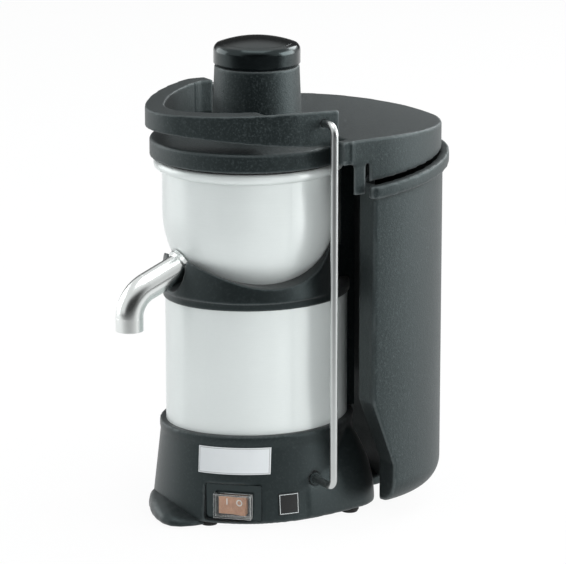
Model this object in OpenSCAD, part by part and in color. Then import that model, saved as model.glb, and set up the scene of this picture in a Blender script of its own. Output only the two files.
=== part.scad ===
// Centrifugal juicer for fruit and vegetables, built as separate sub-parts.
// Millimetres, +Z up, spout towards -Y, pulp container towards +Y.
// The bowl, basket and motor share one upright axis; the origin is the middle
// of the whole machine's footprint, on the table.

/* [Base] */
// Height of the rubber feet
foot_h = 5; // [4:0.5:8]
// Radius of a rubber foot
foot_r = 9; // [7:0.5:11]
// Height of the cast base below its collar
base_h = 75; // [72:1:77]
// Height of the collar the motor housing stands on
collar_h = 8; // [6:0.5:10]
// How far the collar stands out from the motor housing
collar_out = 5; // [4:0.5:6]
// How far the skirt of the base flares out below the collar
base_flare = 8.5; // [7:0.5:10]
// Wall of the base casting
base_wall = 4; // [3:0.5:5]
// Half width between the centres of the two rear shoulders
shoulder_x = 48; // [46:1:50]
// Distance of the rear shoulders behind the bowl axis
shoulder_y = 69; // [67:1:70]
// Radius of the side that joins each shoulder to the front
flank_r = 400; // [390:5:420]
// Radius of the shoulder's bulging side
shoulder_bulge = 131; // [125:1:140]
// Half width of the tongue that carries the container
tongue_w = 30; // [24:1:32]
// Rear end of the tongue behind the bowl axis
tongue_y = 150; // [140:1:160]
// Radius of the moulded front toe
toe_r = 21.5; // [19:0.5:23]
// Height of the moulded front toe
toe_h = 19; // [16:1:21]
// Rounding of the toe's top edge
toe_round = 9; // [6:1:10]

/* [Switch and plates] */
// Bearing of the switch and name plate round the base
switch_az = -44; // [-46:1:-42]
// Height of the switch's centre
switch_z = 25; // [24:0.5:27]
// Width of the switch bezel
bezel_w = 54; // [52:0.5:56]
// Height of the switch bezel
bezel_h = 35; // [33:0.5:37]
// Width of the rocker
rocker_w = 26; // [24:0.5:27]
// Height of the rocker
rocker_h = 17; // [15:0.5:18]
// Drop of the rocker below the middle of its bezel
rocker_drop = 3; // [2:0.5:3.5]
// Swing of the rocker from off to on
rocker_swing = 16; // [12:1:18]
// Width of the name plate
plate_w = 67; // [60:1:68]
// Height of the name plate
plate_h = 25; // [20:1:26]
// Bearing of the rating plate round the base
rating_az = -10; // [-12:0.5:-8]
// Side of the rating plate
rating_s = 20; // [18:1:22]

/* [Motor housing] */
// Height of the stainless housing
house_h = 119; // [112:1:122]
// Half width of the housing
house_a = 77; // [76:0.5:78]
// Half length of the housing, spout to container
house_b = 89; // [88:0.5:90]
// Radius of the housing's front and rear ends
house_end_r = 65; // [62:0.5:67]
// Distance of the housing's centre behind the bowl axis
house_y = 8.3; // [7:0.1:9]
// Sheet thickness of the housing
house_t = 1.5; // [1:0.1:2]
// Half width of the rear column
column_w = 22; // [18:1:24]
// Rear face of the column behind the bowl axis
column_y = 103; // [100:1:104]

/* [Motor] */
// Radius of the motor shaft
shaft_r = 8; // [7:0.5:9]
// Outer radius of the stator
stator_r = 54; // [50:1:56]
// Length of the stator stack
stator_h = 62; // [56:1:64]
// Outer radius of the rotor core
core_r = 31.5; // [28:0.5:32]
// Air gap between rotor core and stator
air_gap = 0.6; // [0.4:0.1:1]
// Radius of the cooling fan
fan_r = 48; // [42:1:50]
// Number of fan blades
fan_blades = 9; // [7:1:11]
// Radius of the ball bearings
bearing_r = 17.5; // [16:0.5:18]
// Width of the ball bearings
bearing_w = 8; // [7:0.5:8]

/* [Bowl and support] */
// Radius of the bowl's straight wall
bowl_r = 81; // [80:0.5:81.5]
// Radius of the curve that closes the bowl's wall below
bowl_curve = 96.3; // [94:0.1:98]
// Height of the bowl from its foot to its sealing face
bowl_h = 116; // [112:1:118]
// Height of the bowl's straight wall
bowl_straight = 51; // [48:1:53]
// Sheet thickness of the bowl
bowl_t = 1.5; // [1:0.1:2]
// Outer radius of the bowl's rolled rim
rim_r = 89; // [88:0.5:90]
// Radius of the rolled bead itself
rim_bead = 5; // [4:0.5:5.5]
// Height of the support's horns above its lower edge
support_h = 47; // [44:1:49]
// Lowest point of the support's scalloped edge above its lower edge
scallop_low = 22; // [19:1:24]
// Radius of the scallop
scallop_r = 105; // [95:1:115]
// Width of the notch the spout lies in
notch_w = 34; // [31:1:36]

/* [Spout] */
// Outer radius of the spout tube
tube_r = 13; // [12:0.5:14]
// Wall of the spout tube
tube_t = 1.5; // [1:0.1:2]
// Reach of the spout's mouth ahead of the bowl axis
spout_reach = 127; // [122:1:130]
// Slope of the spout below the horizontal
spout_fall = 23; // [20:1:26]
// Bend radius of the spout's centre line
spout_bend = 30; // [27:1:34]
// Height of the spout's centre where it leaves the bowl
spout_z = 247; // [245:0.5:249]
// Height of the spout's mouth
mouth_z = 186; // [182:1:190]

/* [Basket and disc] */
// Bottom radius of the filter basket
basket_r0 = 55; // [52:1:57]
// Top radius of the filter basket
basket_r1 = 73; // [70:1:74]
// Height of the filter basket
basket_h = 70; // [66:1:72]
// Holes in one ring of the basket
basket_holes = 24; // [18:1:28]
// Teeth in one ring of the grating disc
disc_teeth = 18; // [14:1:22]

/* [Lid] */
// Outer radius of the lid's ring over the bowl
lid_r = 92.5; // [92:0.5:93.5]
// Height of the lid's ring
lid_ring_h = 16; // [14:1:18]
// Half width of the hood over the container
hood_w = 118; // [117:0.5:118.5]
// Centre of the hood's round end behind the bowl axis
hood_y = 73; // [71:1:74]
// Radius of the hood's crowned top
crown_r = 1000; // [900:50:1200]
// Height of the hood's lower edge beside the tabs
wing_z = 346; // [344:0.5:348]
// Top of the hood above the lid ring's lower edge
hood_rise = 28; // [26:1:30]
// Wall of the lid
lid_t = 3; // [2.5:0.5:3.5]
// Distance of the feed chute behind the bowl axis
chute_y = 9; // [8:0.5:10]
// Bore radius of the feed chute
chute_bore = 36.8; // [36:0.1:37]
// Outer radius of the chute at its foot
chute_r0 = 42; // [41:0.5:43]
// Outer radius of the chute at its mouth
chute_r1 = 39.6; // [39:0.1:40]
// Height of the chute's mouth above the table
chute_z = 424; // [420:1:425]

/* [Pusher] */
// Height of the pusher's cap
cap_h = 26; // [25:0.5:28]
// Radius of the pusher's cap
cap_r = 40.5; // [40:0.1:41]
// Length of the pusher below its cap
pusher_l = 149; // [140:1:149]

/* [Container] */
// Outer radius and half width of the container
cont_r = 124; // [123:0.5:125]
// Centre of the container's round end behind the bowl axis
cont_y = 67.5; // [66:0.5:68]
// Front face of the container behind the bowl axis
cont_front = 62; // [61:0.5:64]
// Height of the container's underside above the table
cont_z = 15; // [14:0.5:16]
// Height of the container's rim at its front edge
cont_top = 326; // [323:0.5:327]
// Rise of the rim towards the rear
rim_slope = 6.2; // [5:0.2:6.6]
// Wall of the container
cont_t = 3; // [2.5:0.5:4]
// Corner radius round the container's floor
cont_corner = 24; // [20:1:28]
// Radius of the hollow front that clears the bowl and housing
cont_hollow = 115; // [112:1:117]
// How far the rim stands out
cont_rim = 6; // [5:0.5:6]
// Height of the rim's band
rim_band = 12; // [11:1:14]

/* [Bail and handle] */
// Radius of the bail rods
rod_r = 3.5; // [3:0.5:4]
// Distance of each rod from the middle of the machine
rod_x = 119; // [117:0.5:120]
// Distance of the rods behind the bowl axis
rod_y = 22.3; // [21.5:0.1:24]
// Bend radius of the rods
rod_bend = 9; // [8:0.5:10]
// Height of the lower rod ends
hook_z = 42.5; // [41:0.5:45]
// Height of the handle's pivot
pivot_z = 384; // [382:0.5:385]
// Half width of the horseshoe handle
handle_r = 101; // [100.5:0.1:101.5]
// Radius of the handle's sides
side_r = 161.3; // [158:0.1:164]
// Radius of the handle's nose
nose_r = 59.7; // [59.3:0.1:60]
// Thickness of the handle's side plates
arm_t = 4; // [3:0.5:4]
// Width of the handle's front grip
grip_w = 18; // [16:0.5:19]
// Rear end of the side plates behind the bowl axis
arm_y = 38; // [36:0.5:38]
// Height of the handle's front grip
grip_h = 17; // [16:0.5:18]

/* [Hidden] */
$fn = 72;
eps = 0.01;
running_gap = 0.05;
loose_gap = 0.5;
seat_gap = 0.3;

container_rear = cont_y + cont_r + cont_rim;
axis_y = (spout_reach + tube_r - container_rear) / 2;
top_z = chute_z + cap_h;

z_base = foot_h;
z_collar = z_base + base_h;
z_house = z_collar + collar_h;
z_support = z_house + house_h;
z_bowl = z_support + 15;
z_rim = z_bowl + bowl_h;
gasket_h = 2;
z_lid = z_rim + gasket_h;
z_hood = z_lid + hood_rise;

oval_d = house_b - house_end_r;
oval_s = house_a - house_end_r;
oval_e = (oval_d * oval_d - oval_s * oval_s) / (2 * oval_s);
oval_side_r = oval_e + house_a;

deck_t = 6;
z_deck = z_house - deck_t;
plate_t = 2;
gland_r = 8;
skin_t = 0.8;
plate_gap = 0.1;
bezel_t = 2;
bezel_seat = 85.5;
rocker_z = switch_z - rocker_drop;
skirt_gap = 2.5;
crown_y = 80;
wing_x = 107;
wing_y = 29.5;
tab_y0 = 44;
tab_y1 = 57;
skirt_y = 60.5;
cap_f = 7;
side_c = 50.2;
side_y = 47.1;
nose_y = -41.5;
wide_right = -31;
wide_left = 8;
pivot_depth = 9;
window_w = rocker_w + 5;
window_h = rocker_h + 3;
bush_r = 6;
bush_x0 = 74;
bush_x1 = 86.5;

shield_r = stator_r + 12;
shield_t = 9;
z_upper_shield = z_support - shield_t;
z_stator = z_upper_shield - 12 - stator_h;
z_lower_shield = z_stator - 12 - shield_t;
tie_r = stator_r + 7;
tie_bolt_r = 2.5;
fan_h = 8;
z_fan = z_house + 1.5;
hub_r = 14;
z_hub = z_bowl + 18;
hub_h = 22;
z_basket = z_hub + hub_h;
basket_t = 1.2;
disc_t = 2.5;
nut_h = 5;
seal_r = 17;

bead_z = z_rim - rim_bead;
curve_x = bowl_r - bowl_curve;
curve_z = z_rim - bowl_straight;
scallop_z = z_support + scallop_low + scallop_r;
scallop_y = -14;

bend_y = spout_reach - spout_bend * (1 - sin(spout_fall));
start_y = 58;
bend_z = spout_z - (bend_y - start_y) * tan(spout_fall);
bend_cy = bend_y - spout_bend * sin(spout_fall);
bend_cz = bend_z - spout_bend * cos(spout_fall);
seam = 0.5;
seam_step = 0.1;
collar_out_r = tube_r + 3;
collar_start = 14;

front_y = 41;
pusher_r = chute_bore - loose_gap;
z_pusher = chute_z - pusher_l;
cap_dome = 106;
cut_z0 = 55;
cut_z1 = 118;
cut_y = 86;

bottom_grow = collar_out + base_flare;
gland_y = house_y + house_b + bottom_grow - 2.7;
foot_front = [40, -66];
foot_rear = [72, 68];
toe_at = [17, -93];
flank_at = [-308.7, -7];
shoulder_off = [shoulder_x - flank_at[0], shoulder_y - flank_at[1]];
shoulder_r = flank_r - norm(shoulder_off);

// ---- shared shapes ----

// Everything below is drawn about the bowl axis and shifted once here.
module at_axis() {
    translate([0, axis_y, 0]) children();
}

// Places a piece against the base at a bearing, local +X outwards.
module on_side(az, dist, z) {
    translate([0, house_y, z]) rotate([0, 0, az]) translate([dist, 0, 0]) children();
}

// Plan of the sector in which one of the oval's long sides lies.
module oval_sector(side) {
    k = 130;
    len = sqrt(oval_e * oval_e + oval_d * oval_d);
    ux = oval_e / len;
    uy = oval_d / len;
    polygon([
        [0, oval_d], [side * k * ux, oval_d + k * uy], [side * 2 * k, oval_d + k * uy],
        [side * 2 * k, -oval_d - k * uy], [side * k * ux, -oval_d - k * uy], [0, -oval_d]
    ]);
}

// Upright oval solid made of four arcs; its outline grows by g0 below and g1 above.
module oval_solid(h, g0, g1) {
    translate([0, house_y, 0]) {
        for (s = [-1, 1]) {
            translate([0, s * oval_d, 0])
                cylinder(h = h, r1 = house_end_r + g0, r2 = house_end_r + g1);
            intersection() {
                translate([-s * oval_e, 0, 0])
                    cylinder(h = h, r1 = oval_side_r + g0, r2 = oval_side_r + g1);
                linear_extrude(h) oval_sector(s);
            }
        }
    }
}

// Ring of a given bore and outer radius.
module ring(h, r_out, r_in) {
    difference() {
        cylinder(h = h, r = r_out);
        translate([0, 0, -1]) cylinder(h = h + 2, r = r_in);
    }
}

// ---- base ----

// Bulging section of a part of the base whose foot has radius r.
module shoulder_profile(r, inset) {
    intersection() {
        translate([r - shoulder_bulge, z_base]) circle(r = shoulder_bulge - inset, $fn = 180);
        translate([0, z_base]) square([r + 5, base_h - 2 - inset]);
    }
}

// Sector of the flank between the front's side and the shoulder.
module flank_sector() {
    k = 450 / norm(shoulder_off);
    polygon([
        [0, 0], [460 * cos(3), 460 * sin(3)], [460, 60],
        [k * shoulder_off[0], k * shoulder_off[1]]
    ]);
}

module base_shoulders(inset) {
    for (s = [0, 1]) mirror([s, 0, 0]) {
        translate([shoulder_x, shoulder_y, 0]) rotate_extrude() shoulder_profile(shoulder_r, inset);
        translate([flank_at[0], flank_at[1], 0]) intersection() {
            rotate_extrude($fn = 360) shoulder_profile(flank_r, inset);
            linear_extrude(z_collar) flank_sector();
            translate([-flank_at[0], 0, 0]) cube([200, 200, 200]);
        }
    }
    translate([-shoulder_x, shoulder_y, 0])
        rotate([90, 0, 90]) linear_extrude(2 * shoulder_x) shoulder_profile(shoulder_r, inset);
    translate([-shoulder_x, 0, z_base]) cube([2 * shoulder_x, shoulder_y + eps, base_h - 2 - inset]);
}

module base_skin(extra) {
    translate([0, 0, z_base])
        oval_solid(base_h, bottom_grow + extra, collar_out + extra);
}

module base_casting() {
    color([0.13, 0.14, 0.14]) at_axis() difference() {
        union() {
            base_skin(0);
            translate([0, 0, z_collar]) oval_solid(collar_h, collar_out + 1, collar_out + 1);
            base_shoulders(0);
            translate([-tongue_w, 80, z_base]) cube([2 * tongue_w, tongue_y - tongue_w - 80, cont_z - z_base]);
            translate([0, tongue_y - tongue_w, z_base]) cylinder(h = cont_z - z_base, r = tongue_w);
        }
        difference() {
            translate([0, 0, z_base - 1])
                oval_solid(z_deck - z_base + 1, bottom_grow - base_wall, collar_out - base_wall);
            on_side(switch_az, bezel_seat - base_wall, switch_z - bezel_h / 2 - 4)
                translate([0, -bezel_w / 2 - 4, 0]) cube([30, bezel_w + 8, bezel_h + 8]);
        }
        translate([0, 0, z_deck - 1]) cylinder(h = deck_t + 2, r = fan_r - 6);
        on_side(switch_az, bezel_seat, switch_z - bezel_h / 2)
            translate([0, -bezel_w / 2, 0]) cube([30, bezel_w, bezel_h]);
        on_side(switch_az, bezel_seat - base_wall - 1, rocker_z - window_h / 2)
            translate([0, -window_w / 2, 0]) cube([10, window_w, window_h]);
        for (s = [-1, 1])
            translate([s * 60, rod_y, hook_z]) rotate([0, s * 90, 0]) cylinder(h = 45, r = bush_r);
        translate([0, 60, 40]) rotate([-90, 0, 0]) cylinder(h = 60, r = gland_r);
    }
}

module bottom_plate() {
    color([0.6, 0.62, 0.64]) at_axis() difference() {
        translate([0, 0, z_base])
            oval_solid(plate_t, bottom_grow - base_wall - 1, bottom_grow - base_wall - 1);
        for (i = [-3 : 3])
            translate([-26, i * 9 - 1.5, z_base - 1]) cube([52, 3, plate_t + 2]);
        on_side(switch_az, bezel_seat - base_wall - 1, z_base - 1)
            translate([0, -bezel_w / 2 - 5, 0]) cube([30, bezel_w + 10, plate_t + 2]);
    }
}

module foot_places() {
    for (s = [-1, 1]) {
        translate([s * foot_front[0], foot_front[1], 0]) children();
        translate([s * foot_rear[0], foot_rear[1], 0]) children();
    }
}

module rubber_feet() {
    color([0.1, 0.1, 0.1]) at_axis() foot_places() difference() {
        union() {
            cylinder(h = foot_h / 2, r1 = foot_r - 1.5, r2 = foot_r);
            translate([0, 0, foot_h / 2]) cylinder(h = foot_h / 2, r = foot_r);
        }
        translate([0, 0, -1]) cylinder(h = foot_h / 2 + 0.5, r = 4);
        cylinder(h = foot_h + 1, r = 2);
    }
}

module foot_screws() {
    color([0.7, 0.7, 0.72]) at_axis() foot_places() {
        translate([0, 0, foot_h / 2 - 2]) cylinder(h = 1.5, r = 3.5);
        translate([0, 0, foot_h / 2 - 1]) cylinder(h = foot_h / 2 + 1, r = 1.9);
    }
}

module front_pad() {
    flat = toe_r - toe_round;
    color([0.12, 0.13, 0.13]) at_axis() difference() {
        translate([toe_at[0], toe_at[1], 0]) rotate_extrude() polygon([
            [0, 1], [toe_r - 2, 1], [toe_r, 4],
            for (a = [0 : 11.25 : 90]) [flat + toe_round * cos(a), toe_h - toe_round + toe_round * sin(a)],
            [0, toe_h]
        ]);
        base_skin(seat_gap / 3);
    }
}

module wrapped_plate(az, w, h, z) {
    intersection() {
        difference() {
            base_skin(skin_t + plate_gap);
            base_skin(plate_gap);
        }
        on_side(az, 60, z - h / 2) translate([0, -w / 2, 0]) cube([60, w, h]);
    }
}

module name_plate() {
    color([0.8, 0.81, 0.82]) at_axis()
        wrapped_plate(switch_az, plate_w, plate_h, z_collar - 2.5 - plate_h / 2);
}

module rating_plate() {
    color([0.05, 0.05, 0.05]) at_axis() wrapped_plate(rating_az, rating_s, rating_s, switch_z - 2);
}

module switch_bezel() {
    color([0.08, 0.08, 0.08]) at_axis() on_side(switch_az, bezel_seat, switch_z) difference() {
        translate([0, -bezel_w / 2 + seat_gap, -bezel_h / 2 + seat_gap])
            cube([bezel_t, bezel_w - 2 * seat_gap, bezel_h - 2 * seat_gap]);
        translate([-1, -window_w / 2, -window_h / 2 - rocker_drop]) cube([bezel_t + 2, window_w, window_h]);
    }
}

module rocker() {
    r = pivot_depth - 2;
    hw = rocker_w / 2;
    color([0.9, 0.45, 0.1]) at_axis()
        on_side(switch_az, bezel_seat - 4, rocker_z - rocker_h / 2)
        rotate([0, 0, -rocker_swing / 2]) union() {
            linear_extrude(rocker_h) polygon([[0, -hw], [r + 1.6, -hw], [r, 0], [r + 1.6, hw], [0, hw]]);
            cylinder(h = rocker_h, r = 5);
        }
}

module switch_body() {
    color([0.1, 0.1, 0.1]) at_axis() on_side(switch_az, bezel_seat - 34, rocker_z) difference() {
        translate([0, -window_w / 2 + 0.2, -window_h / 2 + 0.2])
            cube([33, window_w - 0.4, window_h - 0.4]);
        translate([22, -window_w / 2 + 1, -window_h / 2 + 1]) cube([12, window_w - 2, window_h - 2]);
    }
}

module switch_cover() {
    color([0.9, 0.9, 0.9, 0.3]) at_axis() on_side(switch_az, bezel_seat + bezel_t, rocker_z) difference() {
        translate([0, -window_w / 2 - 2.5, -window_h / 2 - 1.5])
            cube([6.5, window_w + 5, window_h + 3]);
        translate([-1, -window_w / 2 - 1, -window_h / 2])
            cube([6.3, window_w + 2, window_h]);
    }
}

module pivot_bushes() {
    color([0.1, 0.1, 0.1]) at_axis() for (s = [-1, 1])
        translate([s * bush_x0, rod_y, hook_z]) rotate([0, s * 90, 0])
            ring(bush_x1 - bush_x0, bush_r, rod_r + running_gap);
}

module inlet_gland() {
    color([0.08, 0.08, 0.08]) at_axis() translate([0, gland_y - 16, 40]) rotate([-90, 0, 0]) difference() {
        union() {
            cylinder(h = 16, r = gland_r - 0.1);
            translate([0, 0, 16]) cylinder(h = 3, r = gland_r + 2);
        }
        translate([0, 0, -1]) cylinder(h = 20, r = 3.6);
    }
}

// ---- motor ----

module motor_housing() {
    color([0.78, 0.79, 0.8]) at_axis() difference() {
        translate([0, 0, z_house]) oval_solid(house_h, 0, 0);
        translate([0, 0, z_house - 1]) oval_solid(house_h + 2, -house_t, -house_t);
    }
}

module rear_column() {
    inner = house_y + house_b + 0.3;
    color([0.11, 0.12, 0.12]) at_axis() difference() {
        union() {
            translate([-column_w, 60, z_house]) cube([2 * column_w, column_y - 60, z_rim - 6 - z_house]);
        }
        translate([0, 0, z_house - 1]) oval_solid(house_h + 1.1, 0.3, 0.3);
        translate([0, 0, z_support - 1]) cylinder(h = 50, r = bowl_r + 7.2);
        translate([0, 0, z_support + 40]) cylinder(h = 200, r = rim_r + 1);
        translate([0, 0, z_support - 1]) oval_solid(10, 2.3, 2.3);
        translate([0, inner + 3, z_house + 12]) cylinder(h = z_rim - z_house - 30, r = 1.4);
    }
}

module run_capacitor() {
    color([0.75, 0.76, 0.78]) at_axis() translate([-36, 34, z_base + plate_t]) cylinder(h = 56, r = 18);
}

module terminal_block() {
    color([0.85, 0.85, 0.8]) at_axis() translate([8, 22, z_base + plate_t]) difference() {
        cube([44, 20, 16]);
        for (i = [0 : 4]) translate([6 + 8 * i, 10, 6]) cylinder(h = 12, r = 2.5);
    }
}

module end_shield(z) {
    difference() {
        translate([0, 0, z]) cylinder(h = shield_t, r = shield_r);
        translate([0, 0, z - 1]) cylinder(h = bearing_w + 1, r = bearing_r);
        translate([0, 0, z - 1]) cylinder(h = shield_t + 2, r = shaft_r + 2);
        for (a = [45 : 90 : 315])
            rotate([0, 0, a]) translate([tie_r, 0, z - 1]) cylinder(h = shield_t + 2, r = tie_bolt_r + 0.1);
        for (a = [0 : 60 : 300])
            rotate([0, 0, a]) translate([40, 0, z - 1]) cylinder(h = shield_t + 2, r = 7);
    }
}

module lower_shield() {
    color([0.66, 0.67, 0.68]) at_axis() end_shield(z_lower_shield);
}

module upper_shield() {
    color([0.66, 0.67, 0.68]) at_axis() end_shield(z_upper_shield);
}

module stator() {
    color([0.4, 0.4, 0.42]) at_axis() {
        translate([0, 0, z_stator]) ring(stator_h, stator_r, core_r + air_gap);
        for (z = [z_stator - 10, z_stator + stator_h])
            translate([0, 0, z]) ring(10, stator_r - 8, core_r + 4);
    }
}

module tie_bolts() {
    z0 = z_lower_shield - 4;
    z1 = z_upper_shield + shield_t;
    color([0.7, 0.7, 0.72]) at_axis() for (a = [45 : 90 : 315]) rotate([0, 0, a]) translate([tie_r, 0, z0]) {
        cylinder(h = z1 - z0, r = tie_bolt_r);
        cylinder(h = 4, r = 4.5);
    }
}

module ball_bearings() {
    color([0.72, 0.73, 0.75]) at_axis() for (z = [z_lower_shield, z_upper_shield])
        translate([0, 0, z]) ring(bearing_w, bearing_r, shaft_r + running_gap);
}

module motor_shaft() {
    color([0.7, 0.7, 0.72]) at_axis()
        translate([0, 0, z_house + 1]) cylinder(h = z_basket + 10 - z_house, r = shaft_r);
}

module rotor_core() {
    color([0.5, 0.5, 0.52]) at_axis() translate([0, 0, z_stator]) ring(stator_h, core_r, shaft_r);
}

module cooling_fan() {
    color([0.12, 0.12, 0.12]) at_axis() translate([0, 0, z_fan]) {
        ring(fan_h, shaft_r + 6, shaft_r);
        ring(1.5, fan_r, shaft_r + 5);
        for (i = [0 : fan_blades - 1])
            rotate([0, 0, i * 360 / fan_blades]) translate([shaft_r + 5, -1, 0])
                cube([fan_r - shaft_r - 7, 2, fan_h]);
    }
}

// ---- bowl and support ----

module bowl_profile(inset) {
    intersection() {
        union() {
            translate([curve_x, curve_z]) circle(r = bowl_curve - inset, $fn = 240);
            translate([0, curve_z]) square([bowl_r - inset, bowl_straight + inset + 1]);
        }
        translate([0, z_bowl + inset]) square([bowl_r, bowl_h + 2]);
    }
}

module bowl_outer(inset) {
    rotate_extrude($fn = 120) bowl_profile(inset);
}

// Straight run of the spout from inside the bowl to just past the start of its bend.
module spout_run(r) {
    translate([0, -start_y, spout_z]) rotate([90 + spout_fall, 0, 0])
        cylinder(h = (bend_y - start_y) / cos(spout_fall) + seam, r = r);
}

// Whole course of the spout: a straight run of radius r, a bend of radius r_bend and the mouth.
module spout_course(r, r_bend, past_mouth) {
    spout_run(r);
    translate([0, -bend_cy, bend_cz]) rotate([90, 0, -90])
        rotate_extrude(angle = 90 - spout_fall) translate([spout_bend, 0]) circle(r = r_bend);
    translate([0, -spout_reach, mouth_z - past_mouth])
        cylinder(h = bend_cz + seam - mouth_z + past_mouth, r = r);
}

module bowl_support() {
    color([0.12, 0.13, 0.13]) at_axis() difference() {
        union() {
            translate([0, 0, z_support]) oval_solid(8, 2, 2);
            translate([0, 0, z_support + 8])
                cylinder(h = support_h - 8, r1 = bowl_r + 4, r2 = bowl_r - 3, $fn = 120);
        }
        difference() {
            bowl_outer(-seat_gap);
            translate([0, 0, z_support]) cylinder(h = z_bowl - z_support, r = 60);
        }
        translate([-120, scallop_y, scallop_z]) rotate([0, 90, 0]) cylinder(h = 240, r = scallop_r, $fn = 180);
        translate([0, -start_y, spout_z]) rotate([90 + spout_fall, 0, 0]) linear_extrude(height = 60) {
            circle(r = notch_w / 2);
            translate([-notch_w / 2, 0]) square([notch_w, 60]);
        }
        translate([0, 0, z_support - 1]) cylinder(h = 30, r = seal_r);
    }
}

module juice_bowl() {
    color([0.8, 0.81, 0.82]) at_axis() difference() {
        union() {
            bowl_outer(0);
            rotate_extrude($fn = 120) intersection() {
                translate([rim_r - rim_bead, bead_z]) circle(r = rim_bead);
                translate([0, bead_z - rim_bead]) square([rim_r + 1, 2 * rim_bead]);
            }
            translate([0, 0, bead_z]) cylinder(h = rim_bead, r = rim_r - rim_bead);
        }
        bowl_outer(bowl_t);
        translate([0, 0, z_rim]) cylinder(h = 20, r = 120);
        translate([0, 0, z_bowl - 1]) cylinder(h = 20, r = seal_r);
        translate([0, -start_y + 12, spout_z + 12 * tan(spout_fall)]) rotate([90 + spout_fall, 0, 0])
            cylinder(h = 50, r = tube_r - tube_t);
    }
}

module shaft_seal() {
    color([0.15, 0.15, 0.15]) at_axis() translate([0, 0, z_support]) {
        ring(z_bowl - z_support + bowl_t + 3, seal_r, shaft_r + running_gap);
    }
}

module bowl_gasket() {
    color([0.3, 0.3, 0.3]) at_axis() translate([0, 0, z_rim]) ring(gasket_h, rim_r - 2, bowl_r - bowl_t + 0.5);
}

module spout() {
    color([0.82, 0.83, 0.84]) at_axis() difference() {
        spout_course(tube_r, tube_r - seam_step, 0);
        spout_course(tube_r - tube_t, tube_r - tube_t + seam_step, 1);
        bowl_outer(0);
    }
}

module spout_collar() {
    color([0.8, 0.81, 0.82]) at_axis()
        translate([0, -start_y, spout_z]) rotate([90 + spout_fall, 0, 0])
            translate([0, 0, collar_start]) ring(4, collar_out_r, tube_r);
}

// ---- basket ----

module drive_hub() {
    color([0.75, 0.76, 0.77]) at_axis() translate([0, 0, z_hub]) ring(hub_h, hub_r, shaft_r);
}

module filter_basket() {
    color([0.8, 0.81, 0.82]) at_axis() difference() {
        union() {
            translate([0, 0, z_basket]) cylinder(h = basket_h, r1 = basket_r0, r2 = basket_r1);
            translate([0, 0, z_basket + basket_h - 2]) cylinder(h = 2, r = basket_r1 + 2.5);
        }
        translate([0, 0, z_basket + 2])
            cylinder(h = basket_h, r1 = basket_r0 - basket_t, r2 = basket_r1 - basket_t + 0.5);
        translate([0, 0, z_basket - 1]) cylinder(h = 4, r = shaft_r);
        for (row = [0 : 2], i = [0 : basket_holes - 1])
            rotate([0, 0, (i + row / 2) * 360 / basket_holes])
                translate([basket_r0 - 8, 0, z_basket + 16 + row * 18]) rotate([0, 90, 0])
                    cylinder(h = 30, r = 2.2, $fn = 24);
    }
}

module grating_disc() {
    color([0.8, 0.81, 0.82]) at_axis() translate([0, 0, z_basket + 2]) {
        ring(disc_t, basket_r0 - 3, shaft_r);
        for (row = [0 : 1], i = [0 : disc_teeth - 1])
            rotate([0, 0, (i + row / 2) * 360 / disc_teeth]) translate([22 + 18 * row, 0, disc_t - eps])
                cylinder(h = 2, r1 = 1.6, r2 = 0.3, $fn = 20);
    }
}

module disc_nut() {
    color([0.75, 0.75, 0.76]) at_axis() translate([0, 0, z_basket + 2 + disc_t]) difference() {
        cylinder(h = nut_h, r = 11);
        translate([0, 0, -1]) cylinder(h = nut_h + 2, r = shaft_r);
        for (a = [0 : 60 : 300]) rotate([0, 0, a]) translate([12, 0, -1]) cylinder(h = nut_h + 2, r = 2.5);
    }
}

// ---- lid ----

module hood_plan(inset) {
    translate([0, hood_y]) circle(r = hood_w - inset, $fn = 180);
    translate([-hood_w + inset, front_y - 6]) square([2 * (hood_w - inset), hood_y - front_y + 6]);
}

// Half-space above the sloping joint between hood and container, raised by lift.
module above_joint(lift) {
    translate([-200, cont_front, cont_top + lift]) rotate([rim_slope, 0, 0])
        translate([0, -200, 0]) cube([400, 500, 120]);
}

// Everything under the hood's crowned top, lowered by inset.
module under_crown(inset) {
    translate([-200, crown_y, z_hood + 0.8 - crown_r]) rotate([0, 90, 0])
        cylinder(h = 400, r = crown_r - inset, $fn = 720);
}

// Lid's disc and dome.
module dome_form() {
    rotate_extrude($fn = 150) polygon([
        [0, z_lid], [lid_r, z_lid], [lid_r, z_lid + lid_ring_h],
        [lid_r - 1.5, z_lid + lid_ring_h + 1.5], [chute_r0, z_hood], [0, z_hood]
    ]);
}

module dome_hollow() {
    rotate_extrude($fn = 150) polygon([
        [0, z_lid - 1], [lid_r - 2 * lid_t, z_lid - 1],
        [lid_r - 2 * lid_t, z_lid + lid_ring_h - lid_t],
        [chute_r0, z_hood - lid_t], [0, z_hood - lid_t]
    ]);
}

// Everything ahead of the hood's front face, or behind it.
module ahead_of_hood() {
    translate([-200, -200, 0]) cube([400, 200 + front_y, 500]);
}

module lid() {
    color([0.14, 0.15, 0.15]) at_axis() difference() {
        union() {
            intersection() {
                dome_form();
                ahead_of_hood();
            }
            translate([0, chute_y, z_lid]) cylinder(h = z_hood - z_lid + 1, r = chute_r0);
            translate([0, chute_y, z_hood]) cylinder(h = chute_z - z_hood, r1 = chute_r0, r2 = chute_r1);
        }
        difference() {
            dome_hollow();
            translate([0, chute_y, z_lid]) cylinder(h = 100, r = chute_r0 - 1);
        }
        translate([0, chute_y, z_lid - 10]) cylinder(h = 200, r = chute_bore);
        translate([0, 0, z_lid - 60]) cylinder(h = 60, r = rim_r + 1);
    }
}

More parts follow.
